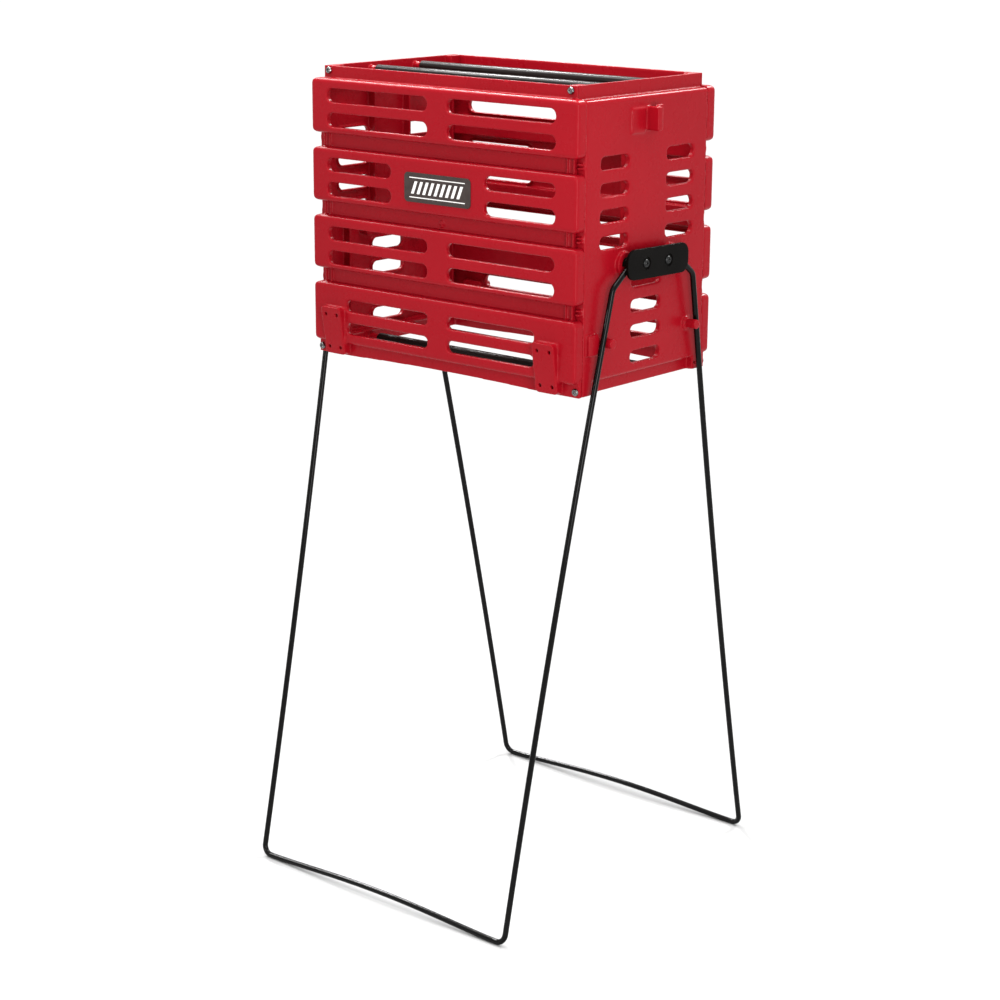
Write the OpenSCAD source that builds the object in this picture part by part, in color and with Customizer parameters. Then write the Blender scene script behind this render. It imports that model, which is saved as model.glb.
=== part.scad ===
// Ball pick-up hopper. A slotted basket has roller bars across its mouth and its
// bottom, and stands on two wire legs that swing over to become the carrying handle.
// +X runs along the long side, +Z is up, and the origin is on the floor under the middle.

/* [Basket] */
// Length over the bands
basket_l = 380; // [372:1:390]
// Depth over the bands
basket_d = 237.6; // [234:0.1:242]
// Height from the lower rim to the upper rim
basket_h = 322.6; // [320:0.1:326]
// Height of the lower rim above the floor
basket_z = 586.7; // [560:0.1:620]
// Thickness of the moulded walls
wall = 3; // [2.5:0.1:3.4]
// How far the upper rim and the grooves sit back from the bands
rim_inset = 10.75; // [9.5:0.05:12]
// How far the lower rim sits back from the bands
foot_inset = 8.2; // [7:0.1:9]

/* [Bands] */
// Height of the lowest band
band_first_h = 67; // [64:0.5:69]
// Height of each other band
band_h = 60; // [56:0.5:62]
// Lower edge of the lowest band, above the lower rim
band_first_z = 15; // [14:0.5:17]
// Distance from the top of one band to the top of the next
band_pitch = 75.8; // [75:0.1:76.2]
// Rounding of the long edges of a band
band_edge_r = 4; // [2:0.5:5]

/* [Slots] */
// Height of a slot
slot_h = 15.5; // [12:0.5:17]
// Height of a slot in the lowest band
low_slot_h = 13; // [11:0.5:14]
// Distance between the two rows of slots in a band
slot_row = 27; // [24:0.5:29]
// Distance between the two rows of slots in the lowest band
low_slot_row = 25.9; // [24:0.1:27]
// Middle of the slots in the lowest band, above the lower rim
slot_first_z = 45.8; // [44:0.1:48]
// Middle of the slots in the second band, above the lower rim
slot_second_z = 125; // [123:0.5:127]
// Distance between the slots of the bands above that
slot_pitch = 76.5; // [76:0.1:77]
// Height of a slot in the side panels
side_slot_h = 14; // [12:0.5:15]

/* [Wheel pads] */
// Width of a pad
pad_w = 29.5; // [28:0.5:30]
// Height of a pad
pad_h = 54.5; // [52:0.5:55]
// Distance between the middles of the two pads on a panel
pad_span = 309; // [306:0.5:310]
// How far the top of a pad stands out from the band
pad_out = 8.8; // [4:0.1:9.5]
// How far the bottom of a pad stands out from the band
pad_out_low = 0.5; // [0:0.1:4]
// Distance between the screw holes along the basket
pad_hole_x = 16.5; // [15:0.5:18]
// Distance between the screw holes up the pad
pad_hole_z = 37.9; // [34:0.1:39]
// Diameter of the screw holes
pad_hole_d = 4.2; // [3.5:0.1:5]

/* [Legs] */
// Diameter of the leg wire
wire_d = 6.35; // [6.1:0.05:6.35]
// Distance from the middle of the basket to a leg's pivot
pivot_y = 40.5; // [40:0.1:41]
// Height of the pivots above the lower rim
pivot_rise = 134.1; // [133:0.1:136]
// Distance from the pivot outward to the knee
knee_out = 30; // [29.8:0.1:30.4]
// Drop from the pivot to the knee
knee_drop = 22.4; // [22:0.1:22.8]
// Distance from the middle of the basket to a floor rail
foot_y = 220; // [219:0.5:222]
// Half the distance between the two ends of a floor rail
foot_x = 185; // [183:0.5:186]
// How far the middle of a floor rail is arched up
rail_arch = 6; // [0:0.5:8]

/* [Rollers] */
// Diameter of a roller
roller_d = 12; // [11:0.5:12.5]
// Diameter of a roller's axle
axle_d = 5; // [4:0.5:6]
// Distance from the middle of the basket to a roller
roller_y = 37; // [36:0.5:38]

/* [Hidden] */
$fn = 64;

moulded_red = [0.74, 0.09, 0.12];
moulded_black = [0.06, 0.06, 0.07];
coated_black = [0.03, 0.03, 0.03];
bright_steel = [0.72, 0.73, 0.75];
label_grey = [0.10, 0.10, 0.11];

// A cut runs past the surface it starts from by this much
past = 1;
// Gap between neighbouring mouldings
seam = 0.12;

half_l = basket_l / 2;
half_d = basket_d / 2;
// Outer planes of the rim and grooves on the long side and on the short side
rim_y = half_d - rim_inset;
rim_x = half_l - rim_inset;
foot_rim_y = half_d - foot_inset;
foot_rim_x = half_l - foot_inset;
// Half the width of a side panel, which sits between the two long panels
side_half_w = rim_y - wall - seam;

// Bands, lowest first
function band_top(i) = band_first_z + band_first_h + i * band_pitch;
function band_low(i) = i == 0 ? band_first_z : band_top(i) - band_h;
band_last = 3;
// Height of a band's upper (s = 1) or lower (s = -1) row of slots
function slot_mid_z(i) = i == 0 ? slot_first_z : slot_second_z + (i - 1) * slot_pitch;
function slot_z(i, s) = slot_mid_z(i) + s * (i == 0 ? low_slot_row : slot_row) / 2;
function slot_high(i) = i == 0 ? low_slot_h : slot_h;
// Inner and outer ends of the slots in each band, lowest first, from the middle of the slots
slot_inner = [14, 14, 67, 14];
slot_outer = [137, 163.5, 164, 163.5];
// The slots and the pads sit a little to the left of the panel's middle
slot_shift = -3;
pad_shift = -2;

// Collar round each slot, on the inside
collar_w = 2;
collar_depth = 5.5;
band_corner_r = 6.5;
pad_z = 29.15;
pad_hole_mid_z = 28.85;
pad_corner_r = 4;
// Shallow recess in the outer face of the upper rim
recess_x0 = 82;
recess_x1 = 89;
recess_h = 1.4;
recess_in = 0.9;
// The lower rim curves up between the wheel pads
arch_half = 139;
arch_rise = 2.4;
arch_steps = 12;
arrow_z = 164;
arrow_out = 1.2;

// Corner screws
screw_head_r = 4;
screw_head_h = 2.4;
screw_shank_r = 1.9;
screw_len = 15;
top_screw_x = 172;
top_screw_z = 317.5;
low_screw_x = 185;
low_screw_z = 6.5;
block_depth = 16;

// Side panel
raised_low = 14;
raised_top = 308;
side_slot_len = 49;
side_slot_rows = [0, 27.6, 55.2, 82.8];
// Inner end and lowest row of the front and the rear column of slots
front_column = [-31, 158.8];
rear_column = [33, 160.1];
mid_slot_y0 = -24.5;
mid_slot_y1 = 28;
mid_slot_rows = [31, 58.4, 85.8, 113.2];
// Upright ribs on the inner face, closer together above the pivots than below
rib_y = 29;
low_rib_y = 72;
rib_break_z = 150;
rib_w = 2.4;
rib_depth = 10;
// Forked snap pins in the grooves at the front end
snap_r = 3.6;
snap_slit = 2.2;
snap_x = 5;
snap_reach = 5;

// Leg stops on the side panel
peg_y = 74;
peg_z = 55;
peg_r = 5.2;
peg_len = 16;
peg_collar_r = 7.6;
peg_collar_h = 2.6;
stop_block = [4.2, 17.6, 22];
stop_block_y = -91.6;
stop_block_z = 54.7;

// Handle rests near the top of the side panel
rest_pad = [2.1, 22.8, 26.4];
rest_pad_y = -19;
rest_pad_z = 281.9;
web_reach = 17;
web_h = 25;
web_z = 283.4;
web_t = 7.8;
web_y = -2.1;
lip_x = 10;
lip_t = 2.6;
lip_end_y = 9;
lip_rise = 2;
// Small hole in the lower corner of the side panel
corner_hole_y = 93;
corner_hole_z = 7.5;
corner_hole_r = 1.8;

// Pivot boss and its cover
pivot_z = basket_z + pivot_rise;
boss_r = 13.3;
boss_out = 5;
boss_in = 15;
pin_r = wire_d / 2 + 0.025;
bore_r = pin_r + 0.06;
pin_inner_x = half_l - 16;
wire_x = half_l + 10.5;
cover_w = 106;
cover_h = 32.4;
cover_t = 3.2;
cover_x = half_l + 14;
cover_corner_r = 12;
recess_r = 6.8;
recess_depth = 1.6;
cover_screws_y = [-21.1, 17.5];
// The cover hangs a little low and out of level
cover_drop = 0.5;
cover_tilt = 1.2;
post_r = 7;
cover_head_r = 4.6;
cover_head_h = 2.2;
hub_r = 8;
hub_gap = 0.35;

// Rollers and axles
roller_r = roller_d / 2;
axle_r = axle_d / 2;
run_gap = 0.06;
roller_top_z = basket_z + basket_h - 8.7;
roller_low_z = basket_z + 6.9;
roller_half = 165;
socket_r = 4.8;
socket_reach = 9.5;
axle_half = rim_x - 1.6;

// Badge on the second band from the top
badge_w = 95;
badge_h = 32;
badge_t = 0.9;
badge_x = -1.5;
badge_z = 201.5;
badge_r = 5;

// ---------------------------------------------------------------- helpers

// Box from its two corners
module span(low, high) {
    translate(low) cube(high - low);
}

// A flat shape drawn in X and Z, made thick along Y about y
module along_y(y, thick) {
    translate([0, y, 0]) rotate([90, 0, 0]) linear_extrude(thick, center = true) children();
}

// A flat shape drawn in Y and Z, made thick along X about x
module along_x(x, thick) {
    translate([x, 0, 0]) rotate([90, 0, 90]) linear_extrude(thick, center = true) children();
}

// Rod along X or along Y between two coordinates
module rod_x(x0, x1, y, z, r) {
    translate([x0, y, z]) rotate([0, 90, 0]) cylinder(h = x1 - x0, r = r);
}

module rod_y(y0, y1, x, z, r) {
    translate([x, y0, z]) rotate([-90, 0, 0]) cylinder(h = y1 - y0, r = r);
}

// Slot outline with round ends, from a to b, of height h about z, wider by grow all round
module slot_shape(a, b, z, h, grow = 0) {
    r = h / 2;
    translate([a + r, z - r - grow]) square([b - a - h, h + 2 * grow]);
    for (p = [a + r, b - r]) translate([p, z]) circle(r + grow);
}

// Rectangle about the origin with rounded corners
module round_rect(w, h, r) {
    square([w - 2 * r, h], center = true);
    square([w, h - 2 * r], center = true);
    for (sx = [-1, 1]) for (sy = [-1, 1])
        translate([sx * (w / 2 - r), sy * (h / 2 - r)]) circle(r);
}

// Both ends of something that is the same at +X and at -X
module both_ends() {
    children();
    mirror([1, 0, 0]) children();
}

// ---------------------------------------------------------------- long panels

// Outer solid of a band: its long edges, end corners and upright corners are rounded
module band_solid(i) {
    low = band_low(i);
    high = band_top(i);
    h = high - low;
    depth = half_d - rim_y + wall;
    intersection() {
        translate([0, -half_d + depth / 2, (low + high) / 2])
            rotate([90, 0, 90])
                linear_extrude(basket_l, center = true)
                    union() {
                        translate([band_edge_r / 2, 0])
                            square([depth - band_edge_r, h], center = true);
                        square([depth, h - 2 * band_edge_r], center = true);
                        for (s = [-1, 1])
                            translate([-depth / 2 + band_edge_r, s * (h / 2 - band_edge_r)])
                                circle(band_edge_r);
                    }
        translate([0, 0, (low + high) / 2])
            along_y(-half_d, 3 * depth)
                round_rect(basket_l, h, band_corner_r);
        translate([0, 0, low - past])
            linear_extrude(h + 2 * past)
                translate([0, -half_d + 30])
                    round_rect(basket_l, 60, 2.2);
    }
}

module band(i) {
    difference() {
        band_solid(i);
        span([-half_l + wall, -half_d + wall, band_low(i) + wall],
             [half_l - wall, 0, band_top(i) - wall]);
    }
    // Collars that stiffen the slots
    along_y(-half_d + (wall + collar_depth) / 2, collar_depth - wall + 1) band_slots(i, collar_w);
}

// Outlines of the four slots in a band
module band_slots(i, grow = 0) {
    for (s = [-1, 1])
        translate([slot_shift, 0])
            both_ends()
                slot_shape(slot_inner[i], slot_outer[i], slot_z(i, s), slot_high(i), grow);
}

// Recessed wall between two bands, with an upright rib near each end
module groove_wall(z0, z1) {
    span([-rim_x, -rim_y, z0], [rim_x, -rim_y + wall, z1]);
    both_ends() {
        span([rim_x - 10, -rim_y - 3, z0], [rim_x - 8.2, -rim_y + wall, z1]);
        span([rim_x - 1.8, -rim_y - 3, z0], [rim_x, -rim_y + wall, z1]);
    }
}

// Pad that takes a caster plate with four screws; its face leans in towards the bottom
module wheel_pad(x) {
    low = pad_z - pad_h / 2;
    high = pad_z + pad_h / 2;
    intersection() {
        translate([x, 0, pad_z])
            along_y(-half_d, 4 * pad_out)
                round_rect(pad_w, pad_h, pad_corner_r);
        along_x(x, pad_w + past)
            polygon([[-half_d - pad_out_low, low], [1 - foot_rim_y, low],
                     [1 - foot_rim_y, high], [-half_d - pad_out, high]]);
    }
}

module wheel_pad_holes(x) {
    for (sx = [-1, 1]) for (sz = [-1, 1])
        rod_y(-half_d - pad_out - past, -foot_rim_y + wall + past,
              x + sx * pad_hole_x / 2, pad_hole_mid_z + sz * pad_hole_z / 2, pad_hole_d / 2);
}

// Small moulded arrow in a groove
module arrow_mark() {
    translate([-4.5, 0, arrow_z])
        along_y(-rim_y, 2 * arrow_out)
            polygon([[-4, -0.5], [0, 4], [4, -0.5], [1.2, -0.5], [1.2, -4], [-1.2, -4], [-1.2, -0.5]]);
}

module long_panel() {
    difference() {
        union() {
            for (i = [0:band_last]) band(i);
            for (i = [0:band_last - 1]) groove_wall(band_top(i) - wall, band_low(i + 1) + wall);
            // Upper rim
            span([-rim_x, -rim_y, band_top(band_last) - wall], [rim_x, -rim_y + wall, basket_h]);
            // Lower rim, thick at its ends for the corner screws
            span([-foot_rim_x, -foot_rim_y, 0],
                 [foot_rim_x, -foot_rim_y + wall, band_low(0) + wall]);
            both_ends() {
                span([rim_x - 3, -foot_rim_y, 0],
                     [half_l - 0.6, -rim_y + wall, band_low(0) + wall - 0.5]);
            }
            for (s = [-1, 1]) wheel_pad(pad_shift + s * pad_span / 2);
            arrow_mark();
        }
        for (i = [0:band_last]) along_y(-half_d, 3 * collar_depth) band_slots(i);
        for (s = [-1, 1]) wheel_pad_holes(pad_shift + s * pad_span / 2);
        both_ends() {
            rod_y(-half_d, -rim_y + wall + past, top_screw_x, top_screw_z, screw_shank_r + 0.3);
            rod_y(-half_d, -rim_y + wall + past, low_screw_x, low_screw_z, screw_shank_r + 0.3);
            span([recess_x0, -rim_y - past, basket_h - recess_h],
                 [recess_x1, -rim_y + recess_in, basket_h + past]);
        }
        along_y(-foot_rim_y, 2 * wall + past)
            polygon(concat(
                [[arch_half, -past], [-arch_half, -past]],
                [for (i = [-arch_steps:arch_steps])
                    [arch_half * i / arch_steps, arch_rise * (1 - pow(i / arch_steps, 2))]]));
    }
}

module front_panel() {
    color(moulded_red) translate([0, 0, basket_z]) long_panel();
}

module rear_panel() {
    color(moulded_red) translate([0, 0, basket_z]) rotate([0, 0, 180]) long_panel();
}

module badge() {
    color(label_grey)
        translate([badge_x, -half_d - badge_t / 2 - 0.02, basket_z + badge_z])
            rotate([90, 0, 0])
                linear_extrude(badge_t, center = true)
                    round_rect(badge_w, badge_h, badge_r);
}

// ---------------------------------------------------------------- side panels

// Raised face of the side panel, open to the inside, with rounded top and bottom edges
module raised_shell() {
    depth = rim_inset + wall;
    h = raised_top - raised_low;
    difference() {
        translate([half_l - depth / 2, 0, (raised_top + raised_low) / 2])
            rotate([90, 0, 0])
                linear_extrude(2 * side_half_w, center = true)
                    union() {
                        translate([-2, 0]) square([depth - 4, h], center = true);
                        square([depth, h - 8], center = true);
                        for (s = [-1, 1])
                            translate([depth / 2 - 4, s * (h / 2 - 4)]) circle(4);
                    }
        span([0, -side_half_w + wall, raised_low + wall],
             [half_l - wall, side_half_w - wall, raised_top - wall]);
    }
}

// Solid corner that a screw from the long panel goes into
module corner_block(x0, x1, z0, z1) {
    for (s = [-1, 1])
        translate([0, s * (side_half_w - block_depth / 2), 0])
            span([x0, -block_depth / 2, z0], [x1, block_depth / 2, z1]);
}

module pivot_bosses() {
    for (s = [-1, 1]) {
        rod_x(half_l - wall / 2, half_l + boss_out, s * pivot_y, pivot_rise, boss_r);
        rod_x(half_l - boss_in, half_l, s * pivot_y, pivot_rise, 8);
    }
}

module leg_stops() {
    for (s = [-1, 1]) {
        rod_x(half_l - wall / 2, half_l + peg_len, s * peg_y, peg_z, peg_r);
        rod_x(half_l - wall / 2, half_l + peg_collar_h, s * peg_y, peg_z, peg_collar_r);
    }
    span([half_l - wall / 2, stop_block_y - stop_block[1] / 2, stop_block_z - stop_block[2] / 2],
         [half_l + stop_block[0], stop_block_y + stop_block[1] / 2,
          stop_block_z + stop_block[2] / 2]);
}

module handle_rests() {
    span([half_l - wall / 2, rest_pad_y - rest_pad[1] / 2, rest_pad_z - rest_pad[2] / 2],
         [half_l + rest_pad[0], rest_pad_y + rest_pad[1] / 2, rest_pad_z + rest_pad[2] / 2]);
    span([half_l - wall / 2, web_y - web_t / 2, web_z - web_h / 2],
         [half_l + web_reach, web_y + web_t / 2, web_z + web_h / 2]);
    span([half_l + lip_x, web_y, web_z - web_h / 2],
         [half_l + lip_x + lip_t, lip_end_y, web_z + web_h / 2 + lip_rise]);
}

// Outlines of the slots beside the pivots and of the ones under them
module side_slots(grow = 0) {
    for (z = side_slot_rows) {
        slot_shape(front_column[0] - side_slot_len, front_column[0], front_column[1] + z,
                   side_slot_h, grow);
        slot_shape(rear_column[0], rear_column[0] + side_slot_len, rear_column[1] + z,
                   side_slot_h, grow);
    }
    for (z = mid_slot_rows) slot_shape(mid_slot_y0, mid_slot_y1, z, side_slot_h, grow);
}

module side_rib(y, z0, z1) {
    span([half_l - wall - rib_depth, y - rib_w / 2, z0], [half_l - wall / 2, y + rib_w / 2, z1]);
}

// Forked pin that snaps into the neighbouring panel, in the groove above band i
module snap_pin(i) {
    z = (band_top(i) + band_low(i + 1)) / 2;
    difference() {
        rod_y(-side_half_w - snap_reach, -side_half_w + 1, half_l - snap_x, z, snap_r);
        span([half_l - snap_x - snap_r - past, -side_half_w - snap_reach - past, z - snap_slit / 2],
             [half_l + past, -side_half_w - 0.5, z + snap_slit / 2]);
    }
}

module side_panel() {
    difference() {
        union() {
            raised_shell();
            // Upper and lower rims
            span([rim_x - wall, -side_half_w, raised_top - wall], [rim_x, side_half_w, basket_h]);
            span([foot_rim_x - wall, -side_half_w, 0],
                 [foot_rim_x, side_half_w, raised_low + wall]);
            corner_block(top_screw_x - 5, rim_x, basket_h - 11, basket_h);
            corner_block(rim_x - wall, half_l, 0, raised_low + wall + 3);
            pivot_bosses();
            leg_stops();
            handle_rests();
            along_x(half_l - (wall + collar_depth) / 2, collar_depth - wall + 1)
                side_slots(collar_w);
            for (i = [0:band_last - 1]) snap_pin(i);
            // Sockets for the axles
            for (s = [-1, 1]) {
                rod_x(rim_x - wall - socket_reach, rim_x - wall / 2, s * roller_y,
                      roller_top_z - basket_z, socket_r);
                rod_x(rim_x - wall - socket_reach, foot_rim_x - wall / 2, s * roller_y,
                      roller_low_z - basket_z, socket_r);
                side_rib(s * rib_y, rib_break_z, raised_top - 1);
                side_rib(s * low_rib_y, raised_low + 1, rib_break_z);
            }
        }
        along_x(half_l, 3 * collar_depth) side_slots();
        rod_x(half_l - 6, half_l + past, corner_hole_y, corner_hole_z, corner_hole_r);
        translate([0, 0, pivot_rise]) on_cover()
            for (y = cover_screws_y)
                rod_x(half_l - wall - past, half_l + past, y, 0, screw_shank_r + 0.3);
        for (s = [-1, 1]) {
            // Bores for the leg pins
            rod_x(half_l - boss_in - past, half_l + boss_out + past, s * pivot_y, pivot_rise,
                  bore_r);
            // Blind holes for the axles
            rod_x(rim_x - wall - socket_reach - past, axle_half + 0.3, s * roller_y,
                  roller_top_z - basket_z, axle_r + 0.05);
            rod_x(rim_x - wall - socket_reach - past, axle_half + 0.3, s * roller_y,
                  roller_low_z - basket_z, axle_r + 0.05);
            // Pilot holes for the corner screws
            rod_y(s > 0 ? side_half_w - 13 : -side_half_w - past,
                  s > 0 ? side_half_w + past : -side_half_w + 13,
                  top_screw_x, top_screw_z, screw_shank_r + 0.05);
            rod_y(s > 0 ? side_half_w - 13 : -side_half_w - past,
                  s > 0 ? side_half_w + past : -side_half_w + 13,
                  low_screw_x, low_screw_z, screw_shank_r + 0.05);
        }
    }
}

module right_panel() {
    color(moulded_red) translate([0, 0, basket_z]) side_panel();
}

module left_panel() {
    color(moulded_red) translate([0, 0, basket_z]) rotate([0, 0, 180]) side_panel();
}

// ---------------------------------------------------------------- pivot covers

// Places a pivot cover and its screws about the middle of the pivots
module on_cover() {
    translate([0, 0, -cover_drop]) rotate([-cover_tilt, 0, 0]) children();
}

// Plate that keeps the leg pins in their bosses, on two posts
module cover_plate() {
    difference() {
        union() {
            along_x(cover_x + cover_t / 2, cover_t)
                round_rect(cover_w, cover_h, cover_corner_r);
            for (y = cover_screws_y) rod_x(half_l + 0.02, cover_x + 1, y, 0, post_r);
            span([half_l + 3, -10, -9], [cover_x + 1, 10, -6]);
            span([half_l + 3, -10, 6], [cover_x + 1, 10, 9]);
        }
        for (y = cover_screws_y) {
            rod_x(half_l - past, cover_x + cover_t + past, y, 0, screw_shank_r + 0.15);
            rod_x(cover_x + cover_t - recess_depth, cover_x + cover_t + past, y, 0, recess_r);
        }
    }
}

module pivot_cover() {
    translate([0, 0, pivot_z]) difference() {
        on_cover() cover_plate();
        // Room for the bosses beside the posts
        for (s = [-1, 1])
            rod_x(half_l - past, half_l + boss_out + 0.05, s * pivot_y, 0, boss_r + 0.1);
    }
}

module pivot_cover_right() {
    color(moulded_black) pivot_cover();
}

module pivot_cover_left() {
    color(moulded_black) rotate([0, 0, 180]) pivot_cover();
}

// ---------------------------------------------------------------- screws

// Pan-head screw with its head's bearing face at the origin and its shank along +Z
module pan_screw(len, head_r, head_h) {
    difference() {
        union() {
            cylinder(h = len, r = screw_shank_r);
            translate([0, 0, -head_h]) cylinder(h = head_h * 0.55, r1 = head_r * 0.78, r2 = head_r);
            translate([0, 0, -head_h * 0.46]) cylinder(h = head_h * 0.46, r = head_r);
        }
        for (a = [0, 90])
            rotate([0, 0, a])
                translate([-head_r * 0.5, -0.55, -head_h - past])
                    cube([head_r, 1.1, past + head_h * 0.55]);
    }
}

module cover_screws() {
    translate([0, 0, pivot_z]) on_cover()
        for (y = cover_screws_y)
            translate([cover_x + cover_t - recess_depth + 0.02, y, 0])
                rotate([0, -90, 0]) pan_screw(22, cover_head_r, cover_head_h);
}

module cover_screws_right() {
    color(moulded_black) cover_screws();
}

module cover_screws_left() {
    color(moulded_black) rotate([0, 0, 180]) cover_screws();
}

module panel_screws(x, y, z) {
    both_ends()
        translate([x, -y - 0.02, basket_z + z])
            rotate([-90, 0, 0]) pan_screw(screw_len, screw_head_r, screw_head_h);
}

module panel_screws_front_top() {
    color(bright_steel) panel_screws(top_screw_x, rim_y, top_screw_z);
}

module panel_screws_front_bottom() {
    color(bright_steel) panel_screws(low_screw_x, foot_rim_y, low_screw_z);
}

module panel_screws_rear_top() {
    color(bright_steel) rotate([0, 0, 180]) panel_screws(top_screw_x, rim_y, top_screw_z);
}

module panel_screws_rear_bottom() {
    color(bright_steel) rotate([0, 0, 180]) panel_screws(low_screw_x, foot_rim_y, low_screw_z);
}

// ---------------------------------------------------------------- rollers

module roller(y, z) {
    color(moulded_black) difference() {
        rod_x(-roller_half, roller_half, y, z, roller_r);
        rod_x(-roller_half - past, roller_half + past, y, z, axle_r + run_gap);
    }
}

module axle(y, z) {
    color(bright_steel) rod_x(-axle_half, axle_half, y, z, axle_r);
}

module roller_top_front() { roller(-roller_y, roller_top_z); }
module roller_top_rear() { roller(roller_y, roller_top_z); }
module roller_bottom_front() { roller(-roller_y, roller_low_z); }
module roller_bottom_rear() { roller(roller_y, roller_low_z); }
module axle_top_front() { axle(-roller_y, roller_top_z); }
module axle_top_rear() { axle(roller_y, roller_top_z); }
module axle_bottom_front() { axle(-roller_y, roller_low_z); }
module axle_bottom_rear() { axle(roller_y, roller_low_z); }

// ---------------------------------------------------------------- legs

wire_sides = 16;
pivot_bend_r = 6;
knee_bend_r = 12;
foot_bend_r = 11;
// Height of the rail's centre line at its corners, which are rounded off just above it
rail_z = wire_d / 2 - 0.06;

pivot_corner = [wire_x, -pivot_y, pivot_z];
knee_corner = [wire_x, -pivot_y - knee_out, pivot_z - knee_drop];
foot_corner = [foot_x, -foot_y, rail_z];

function unit(v) = v / norm(v);

// Points of the arc of radius r that rounds the corner b between a and c
function round_corner(a, b, c, r, n) =
    let (u = unit(a - b),
         w = unit(c - b),
         half = acos(u * w) / 2,
         centre = b + unit(u + w) * r / sin(half),
         p = b + u * r / tan(half) - centre,
         q = b + w * r / tan(half) - centre,
         turn = 180 - 2 * half)
    [for (i = [0:n]) centre + (p * sin(turn - turn * i / n) + q * sin(turn * i / n)) / sin(turn)];

// The side wire bows outward on its way up: s is 0 at the floor and 1 at the knee
function side_wire(s) =
    [for (k = [0:2]) k == 0
        ? foot_x + (wire_x - foot_x) * (0.06 * s + 0.94 * s * s)
        : foot_corner[k] + s * (knee_corner[k] - foot_corner[k])];

function rail_point(t) = [foot_x * t, -foot_y, rail_z + rail_arch * pow(1 - t * t, 2)];

// Half of the leg's centre line, from the pivot pin to the middle of the floor rail
side_points = [for (i = [7:-1:0]) side_wire(0.06 + 0.11 * i)];
half_route = concat(
    [[half_l + 1, -pivot_y, pivot_z]],
    round_corner([half_l, -pivot_y, pivot_z], pivot_corner, knee_corner, pivot_bend_r, 5),
    round_corner(pivot_corner, knee_corner, side_points[0], knee_bend_r, 5),
    side_points,
    round_corner(side_points[7], foot_corner, rail_point(0.85), foot_bend_r, 6),
    [for (t = [0.85, 0.6, 0.3]) rail_point(t)]);
route_last = len(half_route) - 1;
leg_route = concat(
    half_route,
    [rail_point(0)],
    [for (i = [route_last:-1:0]) [-half_route[i][0], half_route[i][1], half_route[i][2]]]);

// Tube of radius r along a route, with its rings turned as little as possible
module tube(route, r, sides) {
    last = len(route) - 1;
    dirs = [for (i = [0:last]) unit(route[min(i + 1, last)] - route[max(i - 1, 0)])];
    start = unit(cross(dirs[0], [0, 0, 1]));
    side = [for (i = 0, v = start; i <= last;
                 i = i + 1, v = unit(v - (v * dirs[min(i, last)]) * dirs[min(i, last)])) v];
    points = [for (i = [0:last]) for (j = [0:sides - 1])
        let (u = unit(side[i] - (side[i] * dirs[i]) * dirs[i]),
             w = cross(dirs[i], u),
             a = 360 * j / sides)
        route[i] + r * (cos(a) * u + sin(a) * w)];
    faces = concat(
        [[for (j = [0:sides - 1]) j]],
        [[for (j = [sides - 1:-1:0]) last * sides + j]],
        [for (i = [0:last - 1]) for (j = [0:sides - 1])
            [i * sides + j, (i + 1) * sides + j,
             (i + 1) * sides + (j + 1) % sides, i * sides + (j + 1) % sides]]);
    polyhedron(points, faces, convexity = 6);
}

module leg() {
    color(coated_black) union() {
        tube(leg_route, wire_d / 2, wire_sides);
        both_ends() rod_x(pin_inner_x, wire_x - pivot_bend_r, -pivot_y, pivot_z, pin_r);
    }
}

module front_leg() { leg(); }
module rear_leg() { rotate([0, 0, 180]) leg(); }

// Split hub that snaps over the wire where it turns into the boss
module hubs() {
    thick = cover_x - half_l - boss_out - 2 * hub_gap;
    color(moulded_black) both_ends()
        translate([0, -pivot_y, pivot_z])
            along_x(half_l + boss_out + hub_gap + thick / 2, thick)
                difference() {
                    circle(hub_r);
                    circle(pin_r + 0.03);
                    rotate(180 + atan(knee_drop / knee_out))
                        translate([0, -wire_d / 2 - 0.08])
                            square([hub_r + past, wire_d + 0.16]);
                }
}

module front_leg_hubs() { hubs(); }
module rear_leg_hubs() { rotate([0, 0, 180]) hubs(); }

front_panel();
rear_panel();
left_panel();
right_panel();
badge();
roller_top_front();
roller_top_rear();
roller_bottom_front();
roller_bottom_rear();
axle_top_front();
axle_top_rear();
axle_bottom_front();
axle_bottom_rear();
pivot_cover_left();
pivot_cover_right();
cover_screws_left();
cover_screws_right();
panel_screws_front_top();
panel_screws_front_bottom();
panel_screws_rear_top();
panel_screws_rear_bottom();
front_leg();
rear_leg();
front_leg_hubs();
rear_leg_hubs();
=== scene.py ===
"""Looks of the ball pick-up hopper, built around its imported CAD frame. Lengths are metres."""
import math

import bmesh
import bpy
import numpy as np
from mathutils import Matrix, Vector


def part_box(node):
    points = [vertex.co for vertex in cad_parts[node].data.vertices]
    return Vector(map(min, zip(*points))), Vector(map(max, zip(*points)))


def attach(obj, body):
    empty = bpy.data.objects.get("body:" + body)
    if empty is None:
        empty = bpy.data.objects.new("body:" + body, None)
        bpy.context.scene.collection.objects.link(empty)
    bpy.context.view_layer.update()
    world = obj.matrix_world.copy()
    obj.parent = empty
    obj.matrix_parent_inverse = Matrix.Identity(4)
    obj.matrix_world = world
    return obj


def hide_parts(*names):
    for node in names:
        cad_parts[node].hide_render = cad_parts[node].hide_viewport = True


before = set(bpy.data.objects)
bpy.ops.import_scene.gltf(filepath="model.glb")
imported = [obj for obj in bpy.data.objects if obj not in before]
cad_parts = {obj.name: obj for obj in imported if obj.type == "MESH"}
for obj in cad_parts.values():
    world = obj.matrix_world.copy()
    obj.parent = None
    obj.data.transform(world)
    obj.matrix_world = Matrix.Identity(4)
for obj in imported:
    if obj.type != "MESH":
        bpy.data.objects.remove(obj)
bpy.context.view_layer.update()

MM = 0.001
WELD = 2e-6
scene = bpy.context.scene
scene.view_settings.view_transform = "Standard"


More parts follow.
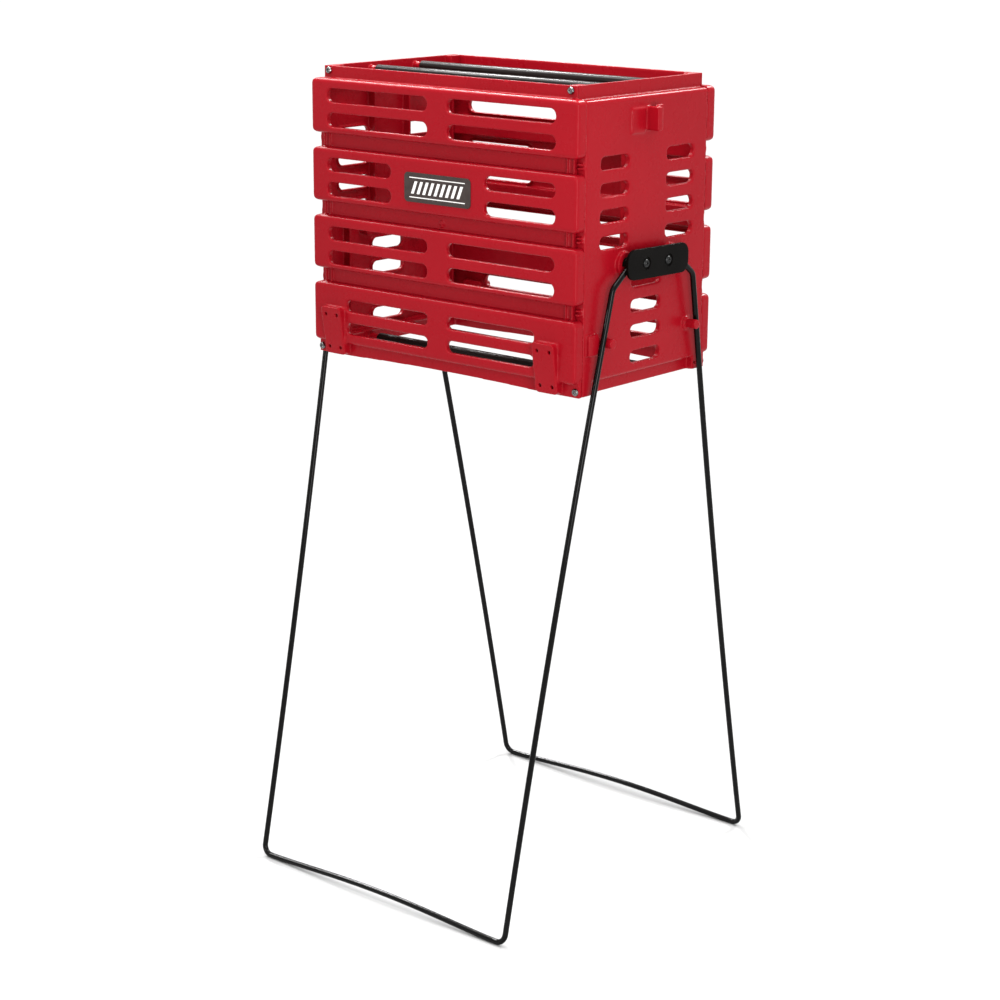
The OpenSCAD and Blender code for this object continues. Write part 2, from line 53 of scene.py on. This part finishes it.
# ---------------------------------------------------------------- camera

CAM_SENSOR = 36
CAM_LENS = 84.75
CAM_REACH = 200
CAM_PLACE = Vector((1.6857, -1.9882, 1.1290))
CAM_AZIMUTH = math.radians(40.496)
CAM_ELEVATION = math.radians(15.199)
CAM_ROLL = math.radians(0.35)


def make_camera():
    data = bpy.data.cameras.new("camera")
    data.sensor_width = CAM_SENSOR
    data.lens = CAM_LENS
    data.clip_end = CAM_REACH
    cam = bpy.data.objects.new("camera", data)
    scene.collection.objects.link(cam)
    back = Vector((math.sin(CAM_AZIMUTH) * math.cos(CAM_ELEVATION),
                   -math.cos(CAM_AZIMUTH) * math.cos(CAM_ELEVATION),
                   math.sin(CAM_ELEVATION)))
    right = (-back).cross(Vector((0, 0, 1))).normalized()
    up = right.cross(-back)
    x = right * math.cos(CAM_ROLL) + up * math.sin(CAM_ROLL)
    y = up * math.cos(CAM_ROLL) - right * math.sin(CAM_ROLL)
    turn = Matrix((x, y, back)).transposed().to_4x4()
    cam.matrix_world = Matrix.Translation(CAM_PLACE) @ turn
    scene.camera = cam


# ---------------------------------------------------------------- studio

FLOOR_HALF = 60
SKY_STRENGTH = 0.86
AIM = Vector((0, 0, 0.75))
# name, azimuth from the front towards the right side, elevation, angular size, strength
SUNS = (("overhead", 0, 84, 100, 1.2),
        ("glint", -20, 13, 8, 0.50),
        ("knee_glint", -90, 45, 8, 0.45),
        ("edge_left", 242, 45, 9, 2.4),
        ("edge_back", 180, 40, 12, 2.6),
        ("edge_front", 284, 47, 9, 0.8))
# name, azimuth, distance from the middle, height, (width, height) of the box, power
SOFTBOXES = (("key", 58, 1.5, 0.85, (0.5, 0.9), 15),
             ("top", 0, 0.16, 1.6, (0.75, 0.28), 9))


def make_lamp(name, kind, strength):
    data = bpy.data.lights.new(name, kind)
    data.energy = strength
    lamp = bpy.data.objects.new(name, data)
    scene.collection.objects.link(lamp)
    return lamp


def make_studio():
    world = bpy.data.worlds.new("studio")
    world.use_nodes = True
    background = world.node_tree.nodes["Background"].inputs
    background["Color"].default_value = (1, 1, 1, 1)
    background["Strength"].default_value = SKY_STRENGTH
    scene.world = world
    for name, azimuth, elevation, spread, strength in SUNS:
        lamp = make_lamp(name, "SUN", strength)
        lamp.data.angle = math.radians(spread)
        lamp.rotation_euler = (math.radians(90 - elevation), 0, math.radians(azimuth))
    for name, azimuth, distance, height, size, power in SOFTBOXES:
        lamp = make_lamp(name, "AREA", power)
        lamp.data.shape = "RECTANGLE"
        lamp.data.size, lamp.data.size_y = size
        a = math.radians(azimuth)
        lamp.location = (distance * math.sin(a), -distance * math.cos(a), height)
        lamp.rotation_euler = (AIM - lamp.location).to_track_quat("-Z", "Y").to_euler()
    bm = bmesh.new()
    bmesh.ops.create_grid(bm, x_segments=1, y_segments=1, size=FLOOR_HALF)
    mesh_object("studio_floor", bm, plain_floor(), smooth=False)


# ---------------------------------------------------------------- materials

class Nodes:
    """Short calls for building one material's node tree."""

    def __init__(self, name):
        self.material = bpy.data.materials.new(name)
        self.material.use_nodes = True
        self.tree = self.material.node_tree
        self.shader = self.tree.nodes["Principled BSDF"]
        self.place = self.add("ShaderNodeTexCoord").outputs["Object"]

    def add(self, kind, **settings):
        node = self.tree.nodes.new(kind)
        for key, value in settings.items():
            setattr(node, key, value)
        return node

    def link(self, start, end):
        self.tree.links.new(start, end)

    def set(self, **values):
        for key, value in values.items():
            self.shader.inputs[key.replace("_", " ")].default_value = value

    def noise(self, scale, detail=2, roughness=0.5, place=None):
        node = self.add("ShaderNodeTexNoise")
        node.inputs["Scale"].default_value = scale
        node.inputs["Detail"].default_value = detail
        node.inputs["Roughness"].default_value = roughness
        self.link(place or self.place, node.inputs["Vector"])
        return node.outputs["Fac"]

    def ramp(self, value, low, high, out_low, out_high):
        node = self.add("ShaderNodeMapRange")
        node.inputs["From Min"].default_value = low
        node.inputs["From Max"].default_value = high
        node.inputs["To Min"].default_value = out_low
        node.inputs["To Max"].default_value = out_high
        self.link(value, node.inputs["Value"])
        return node.outputs["Result"]

    def blend(self, fac, a, b):
        node = self.add("ShaderNodeMix", data_type="RGBA")
        self.link(fac, node.inputs[0])
        node.inputs[6].default_value = (*a, 1)
        node.inputs[7].default_value = (*b, 1)
        return node.outputs[2]

    def cloud(self, scale, a, b, low=0.35, high=0.65):
        """A base colour that drifts between two close tints."""
        fac = self.ramp(self.noise(scale, 3), low, high, 0, 1)
        self.link(self.blend(fac, a, b), self.shader.inputs["Base Color"])

    def rough(self, value, low, high, top=0.7):
        self.link(self.ramp(value, 0.3, top, low, high), self.shader.inputs["Roughness"])

    def grain(self, height, strength, distance, normal=None):
        self.link(self.bump(height, strength, distance, normal), self.shader.inputs["Normal"])

    def bump(self, height, strength, distance, normal=None):
        node = self.add("ShaderNodeBump")
        node.inputs["Strength"].default_value = strength
        node.inputs["Distance"].default_value = distance
        self.link(height, node.inputs["Height"])
        if normal is not None:
            self.link(normal, node.inputs["Normal"])
        return node.outputs["Normal"]


def plain_floor():
    m = Nodes("studio_floor")
    m.cloud(0.8, (0.39, 0.39, 0.39), (0.41, 0.41, 0.41), 0.3, 0.7)
    m.set(Roughness=1.0, Specular_IOR_Level=0.0)
    return m.material


def moulded_red():
    m = Nodes("moulded_red")
    m.cloud(7, (0.245, 0.0022, 0.0072), (0.272, 0.0030, 0.0084), 0.3, 0.7)
    m.rough(m.noise(38, 4, 0.6), 0.24, 0.32, 0.75)
    wave = m.bump(m.noise(24, 2), 0.12, 0.6 * MM)
    m.grain(m.noise(2600, 2, 0.6), 0.22, 0.06 * MM, wave)
    m.set(Specular_IOR_Level=0.10)
    return m.material


def coated_wire():
    m = Nodes("coated_wire")
    m.cloud(30, (0.0012, 0.0011, 0.0010), (0.0026, 0.0024, 0.0023))
    m.rough(m.noise(90, 3), 0.12, 0.17)
    m.grain(m.noise(900, 2), 0.2, 0.08 * MM)
    m.set(Specular_IOR_Level=0.3, IOR=1.3)
    return m.material


def moulded_black():
    m = Nodes("moulded_black")
    m.cloud(20, (0.0020, 0.0016, 0.0013), (0.0036, 0.0030, 0.0026))
    m.rough(m.noise(60, 3), 0.26, 0.38)
    m.grain(m.noise(2400, 2), 0.25, 0.07 * MM)
    m.set(Specular_IOR_Level=0.08, IOR=1.3)
    return m.material


def roller_black():
    """Black tube with fine lines drawn along X."""
    m = Nodes("roller_black")
    stretch = m.add("ShaderNodeMapping")
    stretch.inputs["Scale"].default_value = (0.02, 1, 1)
    m.link(m.place, stretch.inputs["Vector"])
    drawn = m.noise(700, 3, 0.6, stretch.outputs["Vector"])
    fac = m.ramp(drawn, 0.3, 0.7, 0, 1)
    m.link(m.blend(fac, (0.006, 0.004, 0.0036), (0.011, 0.007, 0.0064)),
           m.shader.inputs["Base Color"])
    m.rough(drawn, 0.22, 0.32)
    m.grain(drawn, 0.2, 0.08 * MM)
    m.set(Specular_IOR_Level=0.12)
    return m.material


def plated_steel():
    m = Nodes("plated_steel")
    m.cloud(200, (0.13, 0.13, 0.13), (0.21, 0.205, 0.20))
    m.rough(m.noise(900, 3), 0.10, 0.18)
    m.grain(m.noise(1800, 2), 0.15, 0.05 * MM)
    m.set(Metallic=1.0)
    return m.material


def dark_steel():
    m = Nodes("dark_steel")
    m.cloud(300, (0.004, 0.004, 0.004), (0.009, 0.009, 0.009))
    m.rough(m.noise(900, 3), 0.20, 0.34)
    m.grain(m.noise(1500, 2), 0.2, 0.05 * MM)
    m.set(Specular_IOR_Level=0.2)
    return m.material


def label_film():
    m = Nodes("label_film")
    m.cloud(120, (0.030, 0.021, 0.019), (0.040, 0.029, 0.026))
    m.rough(m.noise(300, 2), 0.30, 0.40)
    m.set(Specular_IOR_Level=0.2)
    return m.material


def label_ink():
    m = Nodes("label_ink")
    m.cloud(150, (0.72, 0.70, 0.68), (0.82, 0.80, 0.78))
    m.rough(m.noise(400, 2), 0.38, 0.5)
    return m.material


# ---------------------------------------------------------------- mesh helpers

PANEL_VOXEL = 0.7 * MM
PLASTIC_VOXEL = 0.4 * MM
SCREW_VOXEL = 0.16 * MM
PANEL_PASSES = 6
SMALL_PASSES = 3
# the wider smoothing of the bands' outer edges
FILLET_PASSES = 34
FILLET_STEPS = 12
FILLET_FULL = 3 * MM
FILLET_REACH = 6 * MM
SAME_FACE = 0.1 * MM
GROOVE_LEAST = 12 * MM


def mesh_object(name, bm, material, smooth=True):
    mesh = bpy.data.meshes.new(name)
    bm.to_mesh(mesh)
    bm.free()
    obj = bpy.data.objects.new(name, mesh)
    scene.collection.objects.link(obj)
    mesh.materials.append(material)
    for face in mesh.polygons:
        face.use_smooth = smooth
    return obj


def softened(node, name, material, voxel, passes, keep, fillet=None):
    """A fine remeshed copy of a CAD node, whose sharp edges are rounded by smoothing.

    keep is the share of the faces that stays. fillet gives each point the weight,
    from 0 to 1, of a second and wider smoothing.
    """
    bm = bmesh.new()
    bm.from_mesh(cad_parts[node].data)
    bmesh.ops.remove_doubles(bm, verts=bm.verts, dist=WELD)
    obj = mesh_object(name, bm, material)
    remesh = obj.modifiers.new("remesh", "REMESH")
    remesh.mode = "VOXEL"
    remesh.voxel_size = voxel
    apply_modifiers(obj)
    smooth = obj.modifiers.new("smooth", "SMOOTH")
    smooth.factor = 0.5
    smooth.iterations = passes
    if fillet:
        wider = obj.modifiers.new("wider", "SMOOTH")
        wider.factor = 0.5
        wider.iterations = FILLET_PASSES
        wider.vertex_group = weigh(obj, fillet)
    thin = obj.modifiers.new("thin", "DECIMATE")
    thin.ratio = keep
    apply_modifiers(obj)
    for face in obj.data.polygons:
        face.use_smooth = True
    return obj


def weigh(obj, fillet):
    """Store the weights that fillet gives obj's points, and return their group's name."""
    points = np.empty(3 * len(obj.data.vertices), dtype=np.float32)
    obj.data.vertices.foreach_get("co", points)
    steps = np.rint(fillet(points.reshape(-1, 3)) * FILLET_STEPS).astype(int)
    group = obj.vertex_groups.new(name="fillet")
    for step in range(1, FILLET_STEPS + 1):
        group.add(np.flatnonzero(steps == step).tolist(), step / FILLET_STEPS, "REPLACE")
    return group.name


def nearness(distance):
    """1 close to a face, falling to 0 at FILLET_REACH from it."""
    return np.clip((FILLET_REACH - distance) / (FILLET_REACH - FILLET_FULL), 0, 1)


def edge_heights(node, axis, face):
    """The lower and upper edges of the bands in which a panel meets its outer face."""
    heights = sorted({round(v.co.z, 5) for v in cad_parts[node].data.vertices
                      if abs(v.co[axis] - face) < SAME_FACE})
    edges = [heights[0], heights[-1]]
    for low, high in zip(heights, heights[1:]):
        if high - low > GROOVE_LEAST:
            edges += [low, high]
    return edges


def near_edges(points, heights):
    return np.max([nearness(abs(points[:, 2] - height)) for height in heights], axis=0)


def apply_modifiers(obj):
    graph = bpy.context.evaluated_depsgraph_get()
    done = bpy.data.meshes.new_from_object(obj.evaluated_get(graph))
    obj.modifiers.clear()
    old = obj.data
    obj.data = done
    bpy.data.meshes.remove(old)


def stands_for(piece, body, node):
    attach(piece, body)
    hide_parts(node)


def half_turned(obj, name):
    """The same moulding on the other side of the basket."""
    twin = bpy.data.objects.new(name, obj.data.copy())
    scene.collection.objects.link(twin)
    twin.data.transform(Matrix.Rotation(math.pi, 4, "Z"))
    return twin


def lathed(name, outline, y, z, material, sides=48):
    """Turned part along X: outline is a closed loop of (x, radius) points."""
    bm = bmesh.new()
    rings = []
    for x, r in outline:
        ring = []
        for j in range(sides):
            a = 2 * math.pi * j / sides
            ring.append(bm.verts.new((x, y + r * math.cos(a), z + r * math.sin(a))))
        rings.append(ring)
    for i, ring in enumerate(rings):
        after = rings[(i + 1) % len(rings)]
        for j in range(sides):
            k = (j + 1) % sides
            bm.faces.new((ring[j], after[j], after[k], ring[k]))
    bmesh.ops.recalc_face_normals(bm, faces=bm.faces)
    return mesh_object(name, bm, material)


def quarter(x, r, size, side, steps=4):
    """Rounded corner of a turned outline, ending at the end face x."""
    return [(x - side * size * (1 - math.sin(math.pi / 2 * i / steps)),
             r - size * (1 - math.cos(math.pi / 2 * i / steps))) for i in range(steps + 1)]


# ---------------------------------------------------------------- rollers

ROLLER_BORE = 2.56 * MM
ROLLER_EDGE = 0.8 * MM
BORE_FLARE = 0.1 * MM
BORE_CHAMFER = 0.2 * MM


def make_roller(node, material):
    low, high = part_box(node)
    r = (high[2] - low[2]) / 2
    y, z = (low[1] + high[1]) / 2, (low[2] + high[2]) / 2
    outline = [(low[0], ROLLER_BORE + BORE_FLARE)]
    outline += reversed(quarter(low[0], r, ROLLER_EDGE, -1))
    outline += quarter(high[0], r, ROLLER_EDGE, 1)
    outline += [(high[0], ROLLER_BORE + BORE_FLARE), (high[0] - BORE_CHAMFER, ROLLER_BORE),
                (low[0] + BORE_CHAMFER, ROLLER_BORE)]
    return lathed(node + "_tube", outline, y, z, material)


# ---------------------------------------------------------------- legs

WIRE_R = 3.17 * MM
CAD_WIRE_R = 3.175 * MM
WIRE_SIDES = 24
PIN_END_X = 174.3 * MM
PIN_END_SHRINK = 0.8
RAIL_Z = 3.115 * MM
KNEE_OUT = 30 * MM
KNEE_DROP = 22.4 * MM
FOOT_X = 185 * MM
RAIL_ARCH = 6 * MM
RAIL_STEPS = 24
RAIL_STRETCH = 0.9
SIDE_STEPS = 40
SIDE_TOP, SIDE_BOTTOM = 0.83, 0.06
SIDE_SLANT = 0.06
PIVOT_BEND, KNEE_BEND, FOOT_BEND = 6 * MM, 12 * MM, 11 * MM


def rounded(before, corner, after, radius, steps):
    """Points of the arc that rounds a corner of the wire."""
    u = (before - corner).normalized()
    w = (after - corner).normalized()
    half = u.angle(w) / 2
    centre = corner + (u + w).normalized() * radius / math.sin(half)
    start = corner + u * radius / math.tan(half) - centre
    end = corner + w * radius / math.tan(half) - centre
    turn = math.pi - 2 * half
    return [centre + (start * math.sin(turn * (1 - i / steps)) + end * math.sin(turn * i / steps))
            / math.sin(turn) for i in range(steps + 1)]


def wire_route():
    """Centre line of the front leg, from one pivot pin round the floor rail to the other."""
    leg_low, leg_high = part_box("front_leg")
    hub_low, hub_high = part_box("front_leg_hubs")
    wire_x = leg_high[0] - CAD_WIRE_R
    foot_y = leg_low[1] + CAD_WIRE_R
    pivot_y = (hub_low[1] + hub_high[1]) / 2
    pivot_z = (hub_low[2] + hub_high[2]) / 2
    pin_end = Vector((PIN_END_X, pivot_y, pivot_z))
    corner = Vector((wire_x, pivot_y, pivot_z))
    knee = Vector((wire_x, pivot_y - KNEE_OUT, pivot_z - KNEE_DROP))
    foot = Vector((FOOT_X, foot_y, RAIL_Z))

    def side(s):
        point = foot.lerp(knee, s)
        point.x = FOOT_X + (wire_x - FOOT_X) * (SIDE_SLANT * s + (1 - SIDE_SLANT) * s * s)
        return point

    def rail(t):
        return Vector((FOOT_X * t, foot_y, RAIL_Z + RAIL_ARCH * (1 - t * t) ** 2))

    sides = [side(SIDE_TOP + (SIDE_BOTTOM - SIDE_TOP) * i / SIDE_STEPS)
             for i in range(SIDE_STEPS + 1)]
    half = [pin_end]
    half += rounded(pin_end, corner, knee, PIVOT_BEND, 10)
    half += rounded(corner, knee, sides[0], KNEE_BEND, 10)
    half += sides
    half += rounded(sides[-1], foot, rail(RAIL_STRETCH), FOOT_BEND, 12)
    half += [rail(RAIL_STRETCH * (1 - i / RAIL_STEPS)) for i in range(RAIL_STEPS)]
    return half + [rail(0)] + [Vector((-p[0], p[1], p[2])) for p in reversed(half)]


def wire_tube(name, route, material):
    """A closed round tube along route, whose two ends are a little narrower."""
    bm = bmesh.new()
    last = len(route) - 1
    side = None
    rings = []
    for i, point in enumerate(route):
        along = (route[min(i + 1, last)] - route[max(i - 1, 0)]).normalized()
        if side is None:
            side = along.cross(Vector((0, 0, 1)))
        side = (side - along * side.dot(along)).normalized()
        across = along.cross(side)
        shrink = PIN_END_SHRINK if i in (0, last) else 1
        ring = []
        for j in range(WIRE_SIDES):
            a = 2 * math.pi * j / WIRE_SIDES
            ring.append(bm.verts.new(point + (side * math.cos(a) + across * math.sin(a))
                                     * WIRE_R * shrink))
        rings.append(ring)
    for ring, after in zip(rings, rings[1:]):
        for j in range(WIRE_SIDES):
            k = (j + 1) % WIRE_SIDES
            bm.faces.new((ring[j], ring[k], after[k], after[j]))
    bm.faces.new(rings[0])
    bm.faces.new(rings[-1])
    bmesh.ops.recalc_face_normals(bm, faces=bm.faces)
    return mesh_object(name, bm, material)


# ---------------------------------------------------------------- badge

BADGE_R = 5 * MM
BADGE_EDGE = 0.35 * MM
BAR_COUNT = 9
BAR_PITCH = 8.2 * MM
BAR_HALF_W = 2 * MM
BAR_HALF_H = 6.8 * MM
BAR_LEAN = 5.5 * MM
LINE_HALF_L = 40 * MM
LINE_HALF_W = 0.5 * MM
LINE_Z = 10.6 * MM
INK_PROUD = 0.02 * MM
INK_SUNK = 0.05 * MM


def rounded_outline(half_w, half_h, r, steps=8):
    points = []
    for turn, (cx, cz) in enumerate(((half_w - r, half_h - r), (r - half_w, half_h - r),
                                     (r - half_w, r - half_h), (half_w - r, r - half_h))):
        for i in range(steps + 1):
            a = math.pi / 2 * (turn + i / steps)
            points.append((cx + r * math.cos(a), cz + r * math.sin(a)))
    return points


def plate(bm, outlines):
    """Closed plate through outlines of (y, points), front last."""
    rings = [[bm.verts.new((x, y, z)) for x, z in points] for y, points in outlines]
    for ring, after in zip(rings, rings[1:]):
        for j in range(len(ring)):
            k = (j + 1) % len(ring)
            bm.faces.new((ring[j], ring[k], after[k], after[j]))
    bm.faces.new(rings[0])
    bm.faces.new(rings[-1])


def make_badge(film, ink):
    low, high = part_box("badge")
    cx, cz = (low[0] + high[0]) / 2, (low[2] + high[2]) / 2
    half_w, half_h = (high[0] - low[0]) / 2, (high[2] - low[2]) / 2

    def moved(points):
        return [(cx + x, cz + z) for x, z in points]

    def face(y, inset, r):
        return y, moved(rounded_outline(half_w - inset, half_h - inset, r))

    step = BADGE_EDGE * 0.3
    bm = bmesh.new()
    plate(bm, (face(high[1], 0, BADGE_R), face(low[1] + BADGE_EDGE, 0, BADGE_R),
               face(low[1] + step, step, BADGE_R - 0.1 * MM),
               face(low[1], BADGE_EDGE, BADGE_R - BADGE_EDGE)))
    bmesh.ops.recalc_face_normals(bm, faces=bm.faces)
    body = mesh_object("badge_plate", bm, film, smooth=False)

    def mark(points):
        plate(bm, ((low[1] + INK_SUNK, moved(points)), (low[1] - INK_PROUD, moved(points))))

    bm = bmesh.new()
    for i in range(BAR_COUNT):
        x = (i - (BAR_COUNT - 1) / 2) * BAR_PITCH
        left, right = x - BAR_HALF_W, x + BAR_HALF_W
        mark([(right + BAR_LEAN / 2, BAR_HALF_H), (left + BAR_LEAN / 2, BAR_HALF_H),
              (left - BAR_LEAN / 2, -BAR_HALF_H), (right - BAR_LEAN / 2, -BAR_HALF_H)])
    for z in (-LINE_Z, LINE_Z):
        mark([(LINE_HALF_L, z + LINE_HALF_W), (-LINE_HALF_L, z + LINE_HALF_W),
              (-LINE_HALF_L, z - LINE_HALF_W), (LINE_HALF_L, z - LINE_HALF_W)])
    bmesh.ops.recalc_face_normals(bm, faces=bm.faces)
    marks = mesh_object("badge_print", bm, ink, smooth=False)
    return body, marks


# ---------------------------------------------------------------- the hopper

make_camera()
make_studio()

RED = moulded_red()
WIRE = coated_wire()
BLACK = moulded_black()
ROLLER = roller_black()
STEEL = plated_steel()
DARK = dark_steel()

END_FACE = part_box("front_panel")[1][0]
FRONT_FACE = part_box("badge")[1][1]
band_edges = edge_heights("front_panel", 1, FRONT_FACE)
end_edges = edge_heights("right_panel", 0, END_FACE)


def front_fillets(points):
    along = np.maximum(near_edges(points, band_edges), nearness(END_FACE - abs(points[:, 0])))
    return nearness(abs(points[:, 1] - FRONT_FACE)) * along


def end_fillets(points):
    return nearness(abs(points[:, 0] - END_FACE)) * near_edges(points, end_edges)


front = softened("front_panel", "front_panel_moulding", RED,
                 PANEL_VOXEL, PANEL_PASSES, 0.11, front_fillets)
right = softened("right_panel", "right_panel_moulding", RED,
                 PANEL_VOXEL, PANEL_PASSES, 0.13, end_fillets)
rear = half_turned(front, "rear_panel_moulding")
left = half_turned(right, "left_panel_moulding")
for name, piece in (("front", front), ("rear", rear), ("left", left), ("right", right)):
    stands_for(piece, "basket", f"{name}_panel")

badge, badge_print = make_badge(label_film(), label_ink())
stands_for(badge, "basket", "badge")
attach(badge_print, "basket")

front_wire = wire_tube("front_leg_wire", wire_route(), WIRE)
stands_for(front_wire, "front_leg", "front_leg")
stands_for(half_turned(front_wire, "rear_leg_wire"), "rear_leg", "rear_leg")

for node, body, voxel, keep, material, slot in (
        ("front_leg_hubs", "front_leg", PLASTIC_VOXEL, 0.4, BLACK, "black_plastic"),
        ("pivot_cover_right", "basket", PLASTIC_VOXEL, 0.3, BLACK, "black_plastic"),
        ("cover_screws_right", "basket", SCREW_VOXEL, 0.3, DARK, "dark_screws")):
    piece = softened(node, node + "_shaped", material, voxel, SMALL_PASSES, keep)
    stands_for(piece, body, node)
    other = node.replace("front", "rear").replace("right", "left")
    twin = half_turned(piece, other + "_shaped")
    stands_for(twin, body.replace("front", "rear"), other)
for end in ("top", "bottom"):
    node = f"panel_screws_front_{end}"
    piece = softened(node, node + "_shaped", STEEL, SCREW_VOXEL, SMALL_PASSES, 0.3)
    stands_for(piece, "basket", node)
    other = f"panel_screws_rear_{end}"
    stands_for(half_turned(piece, other + "_shaped"), "basket", other)

for name in ("top_front", "top_rear", "bottom_front", "bottom_rear"):
    stands_for(make_roller("roller_" + name, ROLLER), "roller_" + name, "roller_" + name)

for name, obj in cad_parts.items():
    if name.startswith("axle"):
        obj.data.materials.clear()
        obj.data.materials.append(STEEL)
